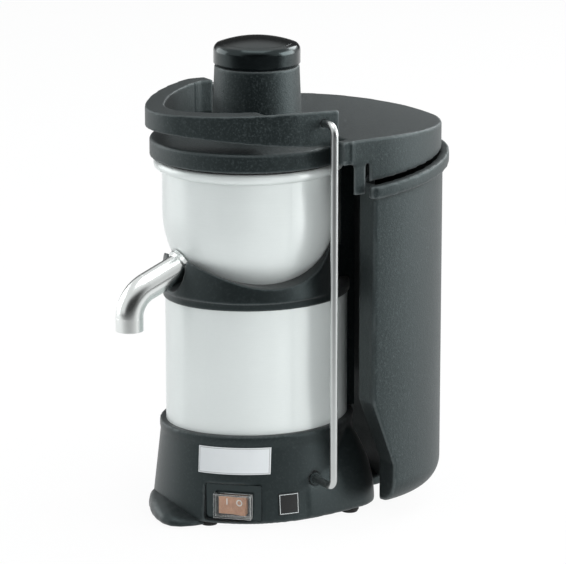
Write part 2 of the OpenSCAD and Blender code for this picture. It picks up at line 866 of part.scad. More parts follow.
// Hood over the container's mouth.
module hood() {
    color([0.14, 0.15, 0.15]) at_axis() difference() {
        union() {
            dome_form();
            intersection() {
                union() {
                    difference() {
                        translate([0, 0, 290]) linear_extrude(100) hood_plan(0);
                        translate([-200, -200, 0]) cube([400, 200 + skirt_y, wing_z]);
                    }
                    for (s = [0, 1]) mirror([s, 0, 0])
                        translate([hood_w - 6, tab_y0, wing_z - 29]) cube([5.5, tab_y1 - tab_y0, 34]);
                }
                union() {
                    above_joint(skirt_gap);
                    translate([-200, 0, wing_z - 40]) cube([400, tab_y1 + 1, 100]);
                }
                under_crown(0);
            }
        }
        dome_hollow();
        intersection() {
            difference() {
                translate([0, 0, 289]) linear_extrude(100) hood_plan(lid_t);
                translate([-200, -200, 0]) cube([400, 200 + front_y + lid_t, 500]);
            }
            under_crown(lid_t);
        }
        ahead_of_hood();
        translate([0, chute_y, z_lid - 10]) cylinder(h = 200, r = chute_r0 + 0.1);
        translate([0, 0, z_lid - 60]) cylinder(h = 60, r = rim_r + 1);
    }
}

// Forward corners of the hood that reach the rods.
module hood_ears() {
    color([0.14, 0.15, 0.15]) at_axis() intersection() {
        for (s = [0, 1]) mirror([s, 0, 0])
            translate([0, 0, wing_z]) linear_extrude(40) polygon([
                [wing_x, wing_y], [wing_x + 4, wing_y],
                [wing_x + 4 + (hood_w - wing_x - 4) * (front_y - wing_y) / 15, front_y], [wing_x, front_y]
            ]);
        under_crown(0);
    }
}

// ---- pusher ----

module pusher_body() {
    color([0.15, 0.16, 0.16]) at_axis() translate([0, chute_y, z_pusher]) difference() {
        cylinder(h = pusher_l + 8, r = pusher_r);
        for (i = [0 : 3]) translate([0, 0, 20 + i * 26]) ring(2, pusher_r + 1, pusher_r - 1);
    }
}

module pusher_cap() {
    color([0.1, 0.11, 0.11]) at_axis() translate([0, chute_y, chute_z]) difference() {
        rotate_extrude($fn = 150) intersection() {
            union() {
                polygon([[0, 0], [cap_r - 1.5, 0], [cap_r, 2], [cap_r, cap_h - 5.5 - cap_f], [0, cap_h - 5.5 - cap_f]]);
                translate([cap_r - cap_f, cap_h - 5.5 - cap_f]) circle(r = cap_f);
                translate([0, 1]) square([cap_r - cap_f, cap_h]);
            }
            translate([0, cap_h - cap_dome]) circle(r = cap_dome, $fn = 360);
            square([cap_r + 1, cap_h + 1]);
        }
        translate([0, 0, -1]) cylinder(h = 9, r = pusher_r);
    }
}

// ---- container ----

module container_solid(inset) {
    r = cont_r - inset;
    c = cont_corner - inset;
    z0 = cont_z + inset;
    h = 360 + inset - z0;
    difference() {
        union() {
            translate([0, cont_y, 0]) rotate_extrude($fn = 180) {
                translate([0, z0]) square([r - c, h]);
                translate([0, z0 + c]) square([r, h - c]);
                translate([r - c, z0 + c]) circle(r = c);
            }
            translate([-r, 40, cut_z0 + 10]) cube([2 * r, cont_y - 40, z0 + h - cut_z0 - 10]);
        }
        translate([-200, -200, 0]) cube([400, 200 + cont_front + inset, 400]);
        translate([-200, 0, 0]) rotate([90, 0, 90]) linear_extrude(400) polygon([
            [0, 0], [cut_y + inset, 0], [cut_y + inset, cut_z0],
            [cont_front + inset, cut_z1 + 2 * inset], [0, cut_z1 + 2 * inset]
        ]);
        cylinder(h = 400, r = cont_hollow + inset, $fn = 180);
        cylinder(h = cut_z0, r = cont_hollow + 14 + inset, $fn = 180);
        translate([0, 0, cut_z0])
            cylinder(h = cut_z1 - cut_z0, r1 = cont_hollow + 14 + inset, r2 = cont_hollow + inset, $fn = 180);
    }
}

// Everything under the rim's band.
module below_rim() {
    translate([-200, cont_front, cont_top - rim_band]) rotate([rim_slope, 0, 0])
        translate([0, -200, -120]) cube([400, 500, 120]);
}

module container() {
    color([0.2, 0.21, 0.21]) at_axis() difference() {
        union() {
            container_solid(0);
            difference() {
                union() {
                    translate([0, cont_y, 290]) cylinder(h = 70, r = cont_r + cont_rim, $fn = 180);
                    translate([-cont_r - cont_rim, cont_front, 290]) cube([2 * (cont_r + cont_rim), cont_y - cont_front, 70]);
                }
                translate([-200, -200, 0]) cube([400, 200 + cont_front, 400]);
                translate([0, cont_y, 280]) cylinder(h = 90, r = cont_r - 1, $fn = 180);
                translate([-cont_r + 1, 0, 280]) cube([2 * cont_r - 2, cont_y, 90]);
                below_rim();
            }
            for (s = [-1, 1])
                translate([s * (cont_r + 1) - 3.5, cont_front - 5.5, cont_top - rim_band]) cube([7, 6.5, 20]);
        }
        container_solid(cont_t);
        above_joint(0);
    }
}

// ---- bail and handle ----

module bail_rods() {
    x_top = handle_r - arm_t - 3;
    x_low = bush_x0 - 3;
    color([0.8, 0.81, 0.82]) at_axis() for (s = [0, 1]) mirror([s, 0, 0]) translate([0, rod_y, 0]) {
        translate([rod_x, 0, hook_z + rod_bend]) cylinder(h = pivot_z - hook_z - 2 * rod_bend, r = rod_r);
        translate([x_top, 0, pivot_z]) rotate([0, 90, 0]) cylinder(h = rod_x - rod_bend - x_top, r = rod_r);
        translate([x_low, 0, hook_z]) rotate([0, 90, 0]) cylinder(h = rod_x - rod_bend - x_low, r = rod_r);
        translate([rod_x - rod_bend, 0, pivot_z - rod_bend]) rotate([90, 0, 0])
            rotate_extrude(angle = 90) translate([rod_bend, 0]) circle(r = rod_r);
        translate([rod_x - rod_bend, 0, hook_z + rod_bend]) rotate([90, 0, 0]) rotate([0, 0, -90])
            rotate_extrude(angle = 90) translate([rod_bend, 0]) circle(r = rod_r);
    }
}

module rod_caps() {
    color([0.6, 0.6, 0.62]) at_axis() for (s = [-1, 1])
        translate([s * (handle_r - arm_t - 3), rod_y, pivot_z]) rotate([0, s * 90, 0])
            ring(2.2, rod_r + 2, rod_r);
}

// Plan of the handle's tapering sides behind y0, drawn in by inset.
module side_lens(inset, y0) {
    intersection() {
        translate([-side_c, side_y]) circle(r = side_r - inset, $fn = 360);
        translate([side_c, side_y]) circle(r = side_r - inset, $fn = 360);
        translate([inset - handle_r, y0]) square([2 * (handle_r - inset), 200]);
    }
}

module handle_plan() {
    difference() {
        union() {
            side_lens(0, -95);
            translate([0, nose_y]) circle(r = nose_r, $fn = 180);
        }
        side_lens(grip_w, grip_w - 95);
        translate([0, nose_y]) circle(r = nose_r - grip_w, $fn = 180);
        intersection() {
            side_lens(arm_t, wide_right);
            translate([0, wide_right]) square([200, 200]);
        }
        intersection() {
            side_lens(arm_t, wide_left);
            translate([-200, wide_left]) square([200, 200]);
        }
        translate([-200, arm_y]) square([400, 200]);
    }
}

module locking_handle() {
    top = pivot_z + 11.8;
    color([0.13, 0.14, 0.14]) at_axis() difference() {
        intersection() {
            translate([0, 0, 340]) linear_extrude(100) handle_plan();
            translate([-150, 0, 0]) rotate([90, 0, 90]) linear_extrude(300) polygon([
                [-110, top - 6.5 - grip_h], [arm_y - 1.5, top - 35.3], [arm_y, top - 34],
                [arm_y, top - 2.5], [arm_y - 1.5, top - 1.2], [-10, top], [-110, top - 6.5]
            ]);
        }
        translate([-200, wide_left, top - 8]) cube([200, 100, 40]);
        for (s = [-1, 1])
            translate([s * 80, rod_y, pivot_z]) rotate([0, s * 90, 0]) cylinder(h = 40, r = rod_r + running_gap);
    }
}

// ---- nodes ----

base_casting();
bottom_plate();
rubber_feet();
foot_screws();
front_pad();
name_plate();
rating_plate();
switch_bezel();
switch_body();
rocker();
switch_cover();
pivot_bushes();
inlet_gland();
motor_housing();
rear_column();
run_capacitor();
terminal_block();
lower_shield();
upper_shield();
stator();
tie_bolts();
ball_bearings();
motor_shaft();
rotor_core();
cooling_fan();
shaft_seal();
drive_hub();
bowl_support();
juice_bowl();
bowl_gasket();
spout();
spout_collar();
filter_basket();
grating_disc();
disc_nut();
lid();
hood();
hood_ears();
pusher_body();
pusher_cap();
container();
bail_rods();
rod_caps();
locking_handle();
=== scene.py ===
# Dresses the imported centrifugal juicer: materials, detailed pieces, floor, light and camera.
import math
import bpy
import bmesh
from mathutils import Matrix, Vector

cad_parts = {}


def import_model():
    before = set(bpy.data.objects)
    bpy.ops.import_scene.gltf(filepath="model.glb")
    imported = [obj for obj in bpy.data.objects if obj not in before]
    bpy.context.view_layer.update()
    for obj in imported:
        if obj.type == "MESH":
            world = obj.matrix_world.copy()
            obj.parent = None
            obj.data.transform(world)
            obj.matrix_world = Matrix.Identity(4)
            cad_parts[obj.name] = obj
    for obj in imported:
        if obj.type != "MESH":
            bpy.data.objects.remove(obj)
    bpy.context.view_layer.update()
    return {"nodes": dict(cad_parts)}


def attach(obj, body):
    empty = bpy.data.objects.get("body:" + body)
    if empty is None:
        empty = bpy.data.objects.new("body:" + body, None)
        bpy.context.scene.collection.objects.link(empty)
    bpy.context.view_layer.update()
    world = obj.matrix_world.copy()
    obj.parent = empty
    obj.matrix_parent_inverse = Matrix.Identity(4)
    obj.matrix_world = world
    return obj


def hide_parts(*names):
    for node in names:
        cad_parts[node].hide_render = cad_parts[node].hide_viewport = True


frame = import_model()

AXIS_Y = -0.02875             # upright axis of the bowl and motor
FACE_Y = 0.0083 + AXIS_Y      # centre of the curve the plates and the switch lie on
SWITCH_AZ, RATING_AZ = -44, -10
C = bpy.context.collection


# ---- node helpers ----

class Graph:
    """Short names for building one material's nodes."""

    def __init__(self, name):
        self.mat = bpy.data.materials.new(name)
        self.mat.use_nodes = True
        self.nt = self.mat.node_tree
        self.nt.nodes.clear()
        self.out = self.nt.nodes.new("ShaderNodeOutputMaterial")
        self.bsdf = self.nt.nodes.new("ShaderNodeBsdfPrincipled")
        self.link(self.bsdf.outputs[0], self.out.inputs["Surface"])
        self.coord = self.nt.nodes.new("ShaderNodeTexCoord").outputs["Object"]

    def link(self, a, b):
        self.nt.links.new(a, b)

    def put(self, node, socket, value):
        s = node.inputs[socket]
        if hasattr(value, "is_output"):
            self.link(value, s)
        else:
            s.default_value = value

    def set(self, **kw):
        for key, value in kw.items():
            self.put(self.bsdf, key.replace("_", " "), value)

    def math(self, op, a, b=0.0):
        n = self.nt.nodes.new("ShaderNodeMath")
        n.operation = op
        self.put(n, 0, a)
        self.put(n, 1, b)
        return n.outputs[0]

    def noise(self, scale, detail=3.0, rough=0.5, vector=None):
        n = self.nt.nodes.new("ShaderNodeTexNoise")
        self.put(n, "Vector", vector or self.coord)
        self.put(n, "Scale", scale)
        self.put(n, "Detail", detail)
        self.put(n, "Roughness", rough)
        return n.outputs["Fac"]

    def ramp(self, fac, *stops):
        """Colour ramp through (position, colour or grey) stops."""
        n = self.nt.nodes.new("ShaderNodeValToRGB")
        self.put(n, "Fac", fac)
        el = n.color_ramp.elements
        while len(el) < len(stops):
            el.new(0.5)
        for e, (pos, col) in zip(el, stops):
            e.position = pos
            e.color = (*col, 1.0) if isinstance(col, (tuple, list)) else (col, col, col, 1.0)
        return n.outputs["Color"]

    def span(self, fac, lo, hi, a=0.0, b=1.0):
        """fac going from a to b, turned into a value going from lo to hi."""
        n = self.nt.nodes.new("ShaderNodeMapRange")
        self.put(n, "Value", fac)
        self.put(n, "From Min", a)
        self.put(n, "From Max", b)
        self.put(n, "To Min", lo)
        self.put(n, "To Max", hi)
        return n.outputs[0]

    def mix(self, fac, a, b):
        """Colour a, passing into colour b as fac goes to one."""
        n = self.nt.nodes.new("ShaderNodeMix")
        n.data_type = "RGBA"
        for i, v in ((0, fac), (6, a), (7, b)):
            if hasattr(v, "is_output"):
                self.link(v, n.inputs[i])
            elif i == 0:
                n.inputs[i].default_value = v
            else:
                n.inputs[i].default_value = (*v, 1.0) if isinstance(v, (tuple, list)) else (v, v, v, 1.0)
        return n.outputs[2]

    def bump(self, height, distance, strength, bevel=None):
        """Relief on the surface, over edges eased by the bevel radius."""
        n = self.nt.nodes.new("ShaderNodeBump")
        self.put(n, "Height", height)
        self.put(n, "Distance", distance)
        self.put(n, "Strength", strength)
        if bevel:
            self.link(self.bevel(bevel), n.inputs["Normal"])
        return n.outputs[0]

    def bevel(self, radius):
        n = self.nt.nodes.new("ShaderNodeBevel")
        n.samples = 4
        self.put(n, "Radius", radius)
        return n.outputs[0]

    def rim(self, radius):
        """One along the sharp edges, nothing on the flats between them."""
        n = self.nt.nodes.new("ShaderNodeVectorMath")
        n.operation = "DOT_PRODUCT"
        self.link(self.bevel(radius), n.inputs[0])
        self.link(self.nt.nodes.new("ShaderNodeNewGeometry").outputs["True Normal"], n.inputs[1])
        return self.span(n.outputs["Value"], 1.0, 0.0, 0.90, 0.985)

    def pointy(self, lo, hi):
        """None where the mesh is flat or hollow, rising to one along its ridges."""
        return self.ramp(self.nt.nodes.new("ShaderNodeNewGeometry").outputs["Pointiness"], (lo, 0.0), (hi, 1.0))

    def polar(self):
        """(angle, radius, height) about the machine's upright axis."""
        x, y, z = self.split()
        y = self.math("SUBTRACT", y, AXIS_Y)
        angle = self.math("ARCTAN2", y, x)
        r = self.math("SQRT", self.math("ADD", self.math("MULTIPLY", x, x), self.math("MULTIPLY", y, y)))
        return angle, r, z

    def across(self, az):
        """Distance to one side on the base's front face, from the bearing az."""
        x, y, _ = self.split()
        a = math.radians(az)
        return self.math("ADD", self.math("MULTIPLY", x, -math.sin(a)),
                         self.math("MULTIPLY", self.math("SUBTRACT", y, FACE_Y), math.cos(a)))

    def xyz(self, x, y, z):
        n = self.nt.nodes.new("ShaderNodeCombineXYZ")
        self.put(n, 0, x)
        self.put(n, 1, y)
        self.put(n, 2, z)
        return n.outputs[0]

    def split(self):
        sep = self.nt.nodes.new("ShaderNodeSeparateXYZ")
        self.link(self.coord, sep.inputs[0])
        return sep.outputs


# ---- materials ----

def shade(color, k):
    return tuple(min(1.0, c * k) for c in color)


def brushed_steel(name, color, rough, aniso, solid):
    """Stainless sheet with its grain round the upright axis."""
    g = Graph(name)
    angle, r, z = g.polar()
    lines = g.noise(1.0, 4.0, 0.65, g.xyz(g.math("MULTIPLY", angle, 5.0), g.math("MULTIPLY", r, 2600.0),
                                          g.math("MULTIPLY", z, 2600.0)))
    cloud = g.noise(14.0, 4.0, 0.55)
    smear = g.noise(55.0, 3.0, 0.6)
    tone = g.math("ADD", g.math("MULTIPLY", lines, 0.5), g.math("MULTIPLY", cloud, 0.5))
    g.set(Base_Color=g.ramp(tone, (0.3, shade(color, 0.93)), (0.7, color)), Metallic=solid, Anisotropic=aniso)
    streaks = g.math("ADD", g.math("MULTIPLY", lines, 0.06), g.math("MULTIPLY", smear, 0.07))
    g.set(Roughness=g.math("ADD", streaks, rough - 0.05))
    tangent = g.nt.nodes.new("ShaderNodeTangent")
    tangent.direction_type = "RADIAL"
    tangent.axis = "Z"
    g.link(tangent.outputs[0], g.bsdf.inputs["Tangent"])
    g.put(g.bsdf, "Anisotropic Rotation", 0.25)
    g.set(Normal=g.bump(lines, 0.00002, 0.5, 0.0004))
    return g.mat


def moulding(name, color, rough, grain, depth=0.00004, spec=0.4, wear_and_highlight=1.25, bevel=0.0008,
             tint=(1.0, 1.0, 1.0), speckle=0.1, sheen=0.0, lit=0.0):
    """Moulded plastic or stove paint: fine grain, faint cloudiness, edges painted paler as a highlight.

    Speckle is how far the pale grains show, lit how pale the painted highlight along the ridges of a rounded
    piece is.
    """
    g = Graph(name)
    fine = g.noise(grain, 2.0, 0.6)
    mottled = g.noise(grain * 0.23, 3.0, 0.6)
    cloud = g.noise(9.0, 4.0, 0.6)
    speck = g.noise(grain * 0.45, 2.0, 0.7)
    base = g.mix(g.span(cloud, 0.0, 1.0, 0.35, 0.65), shade(color, 0.82), color)
    base = g.mix(g.math("MULTIPLY", g.span(mottled, 0.0, 1.0, 0.3, 0.7), 0.35), base, shade(color, wear_and_highlight))
    # Paler along the ridges: a painted highlight on the edges, not wear.
    base = g.mix(g.math("MULTIPLY", g.pointy(0.5, 0.56), 0.5), base, shade(color, wear_and_highlight * 1.5))
    base = g.mix(g.math("MULTIPLY", g.span(speck, 0.0, 1.0, 0.50, 0.80), speckle), base,
                 tuple(c * 4.0 + 0.024 for c in color))
    # Ridges of a rounded piece painted pale: a painted highlight along its edges.
    if lit:
        base = g.mix(g.pointy(0.515, 0.56), base, (lit * 0.9, lit, lit * 1.01))
    g.set(Base_Color=base)
    uneven = 0.06 + 0.10 * speckle
    g.set(Roughness=g.math("ADD", g.span(speck, -uneven, uneven), g.span(cloud, rough - 0.04, rough + 0.05)))
    relief = g.math("ADD", fine, g.math("MULTIPLY", g.math("ADD", mottled, speck), 0.7))
    g.set(Normal=g.bump(relief, depth, 0.6, bevel))
    g.put(g.bsdf, "Specular IOR Level", spec)
    g.put(g.bsdf, "Specular Tint", (*tint, 1.0))
    if sheen:
        g.put(g.bsdf, "Sheen Weight", sheen)
        g.put(g.bsdf, "Sheen Roughness", 0.45)
    return g.mat


def metal(name, color, rough, scratch=0.05):
    """Plain turned or drawn metal, fine scratches along its length."""
    g = Graph(name)
    x, y, z = g.split()
    draw = g.noise(1.0, 3.0, 0.6, g.xyz(g.math("MULTIPLY", x, 900.0), g.math("MULTIPLY", y, 900.0),
                                        g.math("MULTIPLY", z, 30.0)))
    cloud = g.noise(40.0, 3.0, 0.55)
    g.set(Base_Color=g.ramp(cloud, (0.3, shade(color, 0.92)), (0.7, color)), Metallic=1.0)
    g.set(Roughness=g.math("ADD", g.math("MULTIPLY", draw, scratch), g.span(cloud, rough - 0.03, rough + 0.03)))
    g.set(Normal=g.bump(draw, 0.00001, 0.4, 0.0003))
    return g.mat


def plate(name, color, line, az, size, z, inset, thick):
    """Foil plate wrapped round the base, bare but for the fine line round its edge."""
    g = Graph(name)
    up = g.math("SUBTRACT", g.split()[2], z)
    side, end = (g.math("SUBTRACT", length / 2 - inset, g.math("ABSOLUTE", at))
                 for length, at in zip(size, (g.across(az), up)))
    on = g.math("LESS_THAN", g.math("ABSOLUTE", g.math("MINIMUM", side, end)), thick)
    foil = g.noise(420.0, 3.0, 0.6)
    cloud = g.noise(30.0, 3.0, 0.6)
    g.set(Base_Color=g.mix(on, g.ramp(cloud, (0.3, shade(color, 0.95)), (0.7, color)), line))
    g.set(Roughness=g.math("ADD", g.span(foil, -0.05, 0.05), g.span(cloud, 0.27, 0.33)))
    g.set(Normal=g.bump(g.math("ADD", g.math("MULTIPLY", foil, 0.2), on), 0.00012, 0.5, 0.0004))
    return g.mat


def rocker_amber():
    """Translucent amber rocker with a bar and a ring moulded in pale on its face."""
    g = Graph("rocker_amber")
    side, half_line, bar_half, ring_r = 0.0062, 0.0006, 0.0030, 0.0026
    along = g.across(SWITCH_AZ)
    up = g.math("SUBTRACT", g.split()[2], 0.0255)
    bar = g.math("MULTIPLY", g.math("LESS_THAN", g.math("ABSOLUTE", g.math("ADD", along, side)), half_line),
                 g.math("LESS_THAN", g.math("ABSOLUTE", up), bar_half))
    off = g.math("SUBTRACT", along, side)
    dist = g.math("SQRT", g.math("ADD", g.math("MULTIPLY", off, off), g.math("MULTIPLY", up, up)))
    ring = g.math("LESS_THAN", g.math("ABSOLUTE", g.math("SUBTRACT", dist, ring_r)), half_line)
    marks = g.math("MAXIMUM", bar, ring)
    cloud = g.noise(160.0, 3.0, 0.6)
    fine = g.noise(900.0, 2.0, 0.5)
    base = g.ramp(cloud, (0.3, (0.55, 0.27, 0.16)), (0.7, (0.68, 0.36, 0.22)))
    g.set(Base_Color=g.mix(marks, base, (0.86, 0.82, 0.78)), Roughness=g.span(fine, 0.24, 0.34))
    g.set(Normal=g.bump(g.math("ADD", fine, marks), 0.00006, 0.5, 0.0005))
    return g.mat


def cover_clear():
    """Clear soft moulding over the switch, paler along its edges where less of it is clear: a painted
    highlight.
    """
    g = Graph("cover_clear")
    haze = g.noise(260.0, 3.0, 0.6)
    g.set(Base_Color=g.ramp(haze, (0.3, (0.86, 0.88, 0.87)), (0.7, (0.95, 0.96, 0.955))))
    g.set(Roughness=g.span(haze, 0.08, 0.20), IOR=1.42)
    # Less clear along the edges, so the pale colour shows there as a painted highlight.
    g.put(g.bsdf, "Transmission Weight", g.span(g.rim(0.0011), 1.0, 0.45))
    g.set(Normal=g.bump(g.noise(90.0, 2.0, 0.5), 0.00005, 0.4))
    return g.mat


GREENISH = (0.80, 1.0, 1.02)  # tint of what the black pieces reflect
CAST = dict(color=(0.0020, 0.0034, 0.0037), rough=0.45, grain=900.0, depth=0.00006, spec=0.50,
            bevel=0.0030, tint=GREENISH, speckle=0.4, sheen=0.09)
PLASTIC = dict(color=(0.0022, 0.0038, 0.0041), rough=0.50, grain=1100.0, depth=0.00030, spec=0.55,
               bevel=0.0012, tint=GREENISH, speckle=0.9, sheen=0.03)

M = {
    # The rounded pieces' materials carry a painted highlight along their ridges.
    "plastic_rounded": moulding("plastic_rounded", lit=0.07, **PLASTIC),
    "cast_rounded": moulding("cast_rounded", lit=0.05, **CAST),
    "cast_black": moulding("cast_black", **CAST),
    "stainless_brushed": brushed_steel("stainless_brushed", (0.665, 0.705, 0.694), 0.33, aniso=0.8, solid=0.24),
    "rubber_black": moulding("rubber_black", (0.010, 0.010, 0.010), 0.75, grain=700.0, spec=0.25),
    "steel_plain": metal("steel_plain", (0.55, 0.56, 0.58), 0.32),
    "plastic_black": moulding("plastic_black", **PLASTIC),
    "plate_silver": plate("plate_silver", (0.60, 0.625, 0.635), (0.30, 0.31, 0.315), az=SWITCH_AZ,
                          size=(0.067, 0.025), z=0.065, inset=0.0011, thick=0.00028),
    "plate_black": plate("plate_black", (0.0030, 0.0040, 0.0042), (0.42, 0.45, 0.45), az=RATING_AZ,
                         size=(0.020, 0.020), z=0.023, inset=0.0010, thick=0.00032),
    "plastic_gloss": moulding("plastic_gloss", (0.0012, 0.0018, 0.0020), 0.17, grain=420.0, depth=0.00001,
                              spec=0.5, bevel=0.0015, tint=GREENISH),
    "rocker_amber": rocker_amber(),
    "cover_clear": cover_clear(),
    "aluminium_cast": metal("aluminium_cast", (0.60, 0.61, 0.62), 0.38),
    "block_ivory": moulding("block_ivory", (0.80, 0.79, 0.72), 0.45, grain=500.0, wear_and_highlight=1.05),
    "core_steel": metal("core_steel", (0.25, 0.25, 0.26), 0.45),
    "stainless_polished": metal("stainless_polished", (0.80, 0.83, 0.82), 0.19),
    "stainless_rod": metal("stainless_rod", (0.56, 0.585, 0.58), 0.26, scratch=0.06),
}

for obj in frame["nodes"].values():
    for s in obj.material_slots:
        key = s.material.name.split(".")[0] if s.material else ""
        if key in M:
            s.material = M[key]

# The bushes are seen only as black bosses on the base.
for s in frame["nodes"]["pivot_bushes"].material_slots:
    s.material = M["cast_black"]


# ---- mouldings with rounded edges ----

def rounded(name, nodes, body, mat, voxel, passes, keep=0.4, shape=None):
    """One moulding in place of some nodes, its edges and inner corners rounded as a mould leaves them."""
    bm = bmesh.new()
    for n in nodes:
        bm.from_mesh(frame["nodes"][n].data)
    me = bpy.data.meshes.new(name)
    bm.to_mesh(me)
    bm.free()
    piece = bpy.data.objects.new(name, me)
    C.objects.link(piece)
    mod = piece.modifiers.new("remesh", "REMESH")
    mod.mode = "VOXEL"
    mod.voxel_size = voxel
    mod = piece.modifiers.new("smooth", "SMOOTH")
    mod.factor = 0.5
    mod.iterations = passes
    if keep < 1.0:
        mod = piece.modifiers.new("lighten", "DECIMATE")
        mod.ratio = keep
    deps = bpy.context.evaluated_depsgraph_get()
    done = bpy.data.meshes.new_from_object(piece.evaluated_get(deps))
    piece.modifiers.clear()
    piece.data = done
    done.name = name
    done.materials.clear()
    done.materials.append(mat)
    for p in done.polygons:
        p.use_smooth = True
    if shape:
        for v in done.vertices:
            v.co = shape(v.co)
    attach(piece, body)
    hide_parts(*nodes)
    return piece


def eased_side(co):
    """The bow's sides run into its round front without a corner."""
    y = co.y - AXIS_Y
    if abs(co.x) < 0.080 or not -0.045 < y < 0.040:
        return co
    bow_r, bow_x, bow_y, side_x, ease = 0.1613, 0.0502, 0.0471, 0.101, 0.0016
    front = math.sqrt(bow_r ** 2 - (y - bow_y) ** 2) - bow_x
    drop = ease * math.log1p(math.exp(-abs(front - side_x) / ease))
    co.x -= math.copysign(drop, co.x)
    return co


def full_ears(co):
    """The hood's forward corners are rounded out to its side."""
    y = co.y - AXIS_Y
    if co.z < 0.3455 or not 0.029 < y < 0.0445:
        return co
    corner_x, corner_y, rise = 0.111, 0.0295, 0.0066
    slant = corner_x + 0.007 * (y - corner_y) / 0.015
    if abs(co.x) > slant - 0.003:
        t = min(1.0, max(0.0, (y - corner_y) / 0.0035))
        full = corner_x + rise * t * t * (3 - 2 * t)
        co.x += math.copysign(max(0.0, full - slant), co.x)
    return co


TOE = (  # bearing in degrees, outer edge and crest in metres, along the tongue under the front of the base
    (-123, 0.0880, 0.0100), (-118, 0.0925, 0.0150), (-110, 0.0965, 0.0185), (-100, 0.1005, 0.0205),
    (-90, 0.1055, 0.0205), (-82, 0.1095, 0.0185), (-76, 0.1125, 0.0160), (-71, 0.1125, 0.0130),
    (-67, 0.1085, 0.0105), (-63, 0.1005, 0.0080), (-59, 0.0885, 0.0050))
TOE_INNER, TOE_UNDER = 0.083, 0.0012
TOE_ROWS, TOE_COLS = 96, 20


def toe_at(a):
    """Outer edge and crest of the tongue at the bearing a."""
    for p, q in zip(TOE, TOE[1:]):
        if a <= q[0]:
            t = (a - p[0]) / (q[0] - p[0])
            t = t * t * (3 - 2 * t) * 0.4 + t * 0.6
            return [u + (v - u) * t for u, v in zip(p[1:], q[1:])]
    return TOE[-1][1:]


def toe_section(outer, crest):
    """The tongue's outline, as (distance from the axis, height) points."""
    section = [(TOE_INNER, TOE_UNDER), (TOE_INNER, crest)]
    start = TOE_INNER + 0.004
    for j in range(TOE_COLS + 1):
        t = math.pi / 2 * j / TOE_COLS
        share = 0.26 if j == TOE_COLS else 0.28 + 0.72 * math.cos(t) ** 0.8
        section.append((start + (outer - start) * math.sin(t) ** 0.8, TOE_UNDER + (crest - TOE_UNDER) * share))
    return section + [(outer - 0.0012, 2 * TOE_UNDER), (outer - 0.0035, TOE_UNDER)]


def toe_pad():
    """Leaf-shaped tongue lying along the foot of the base, thick at one end."""
    bm = bmesh.new()
    rings = []
    for i in range(TOE_ROWS + 1):
        a = TOE[0][0] + (TOE[-1][0] - TOE[0][0]) * i / TOE_ROWS
        c, s = math.cos(math.radians(a)), math.sin(math.radians(a))
        rings.append([bm.verts.new((r * c, r * s + AXIS_Y, z)) for r, z in toe_section(*toe_at(a))])
    for p, q in zip(rings, rings[1:]):
        for j in range(len(p)):
            k = (j + 1) % len(p)
            bm.faces.new((p[j], p[k], q[k], q[j]))
    bm.faces.new(list(reversed(rings[0])))
    bm.faces.new(rings[-1])
    bmesh.ops.recalc_face_normals(bm, faces=bm.faces)
    me = bpy.data.meshes.new("toe_pad")
    bm.to_mesh(me)
    bm.free()
    for p in me.polygons:
        p.use_smooth = True
    me.materials.append(M["cast_black"])
    piece = bpy.data.objects.new("toe_pad", me)
    C.objects.link(piece)
    mod = piece.modifiers.new("soften", "SMOOTH")
    mod.factor = 0.5
    mod.iterations = 3
    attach(piece, "machine")
    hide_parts("front_pad")


rounded("hood_cover", ["lid", "hood", "hood_ears"], "machine", M["plastic_rounded"],
        0.0015, 3, shape=full_ears)
rounded("grip_bow", ["locking_handle"], "handle", M["plastic_rounded"],
        0.0011, 5, keep=1.0, shape=eased_side)
rounded("pulp_bin", ["container"], "container", M["plastic_rounded"], 0.0015, 7)
rounded("cast_foot", ["base_casting"], "machine", M["cast_rounded"], 0.0016, 6)
toe_pad()
rounded("bowl_yoke", ["bowl_support"], "machine", M["cast_rounded"], 0.0012, 3)

# ---- floor, light and camera ----

BAY = (0.866, -0.5)           # towards the side of the studio left unlit at eye level
AMBIENT = 0.42                # level of the soft light on plain surfaces
WALL = 1.10                   # level of the walls in reflections
BAY_LEVEL = 0.05              # level of the unlit side in reflections
FLOOR_GLOW = 0.93             # share of the floor's white that is there without lamps


def stage_floor():
    """White floor that takes a faint shadow and darkens towards the unlit side in reflections."""
    me = bpy.data.meshes.new("floor")
    bm = bmesh.new()
    bmesh.ops.create_circle(bm, cap_ends=True, segments=96, radius=14.0)
    bm.to_mesh(me)
    bm.free()
    floor = bpy.data.objects.new("floor", me)
    C.objects.link(floor)
    g = Graph("floor_white")
    nt = g.nt
    g.set(Base_Color=g.ramp(g.noise(3.0, 3.0), (0.3, (0.86, 0.865, 0.865)), (0.7, (0.88, 0.885, 0.885))),
          Roughness=0.7)
    glow = nt.nodes.new("ShaderNodeEmission")
    glow.inputs[0].default_value = (1, 1, 1, 1)
    path = nt.nodes.new("ShaderNodeLightPath")
    mirrored = g.math("MAXIMUM", path.outputs["Is Glossy Ray"], path.outputs["Is Transmission Ray"])
    seen = g.math("MAXIMUM", path.outputs["Is Camera Ray"], mirrored)
    x, y, _ = g.split()
    out = g.math("ADD", g.math("MULTIPLY", x, BAY[0]), g.math("MULTIPLY", y, BAY[1]))
    far = smooth_range(nt, out, 0.25, 1.30, 1.0, BAY_LEVEL)
    g.link(g.math("MAXIMUM", far, path.outputs["Is Camera Ray"]), glow.inputs[1])
    lit = blend(nt, g.math("MULTIPLY", seen, FLOOR_GLOW), g.bsdf.outputs[0], glow.outputs[0])
    g.link(lit, g.out.inputs["Surface"])
    me.materials.append(g.mat)


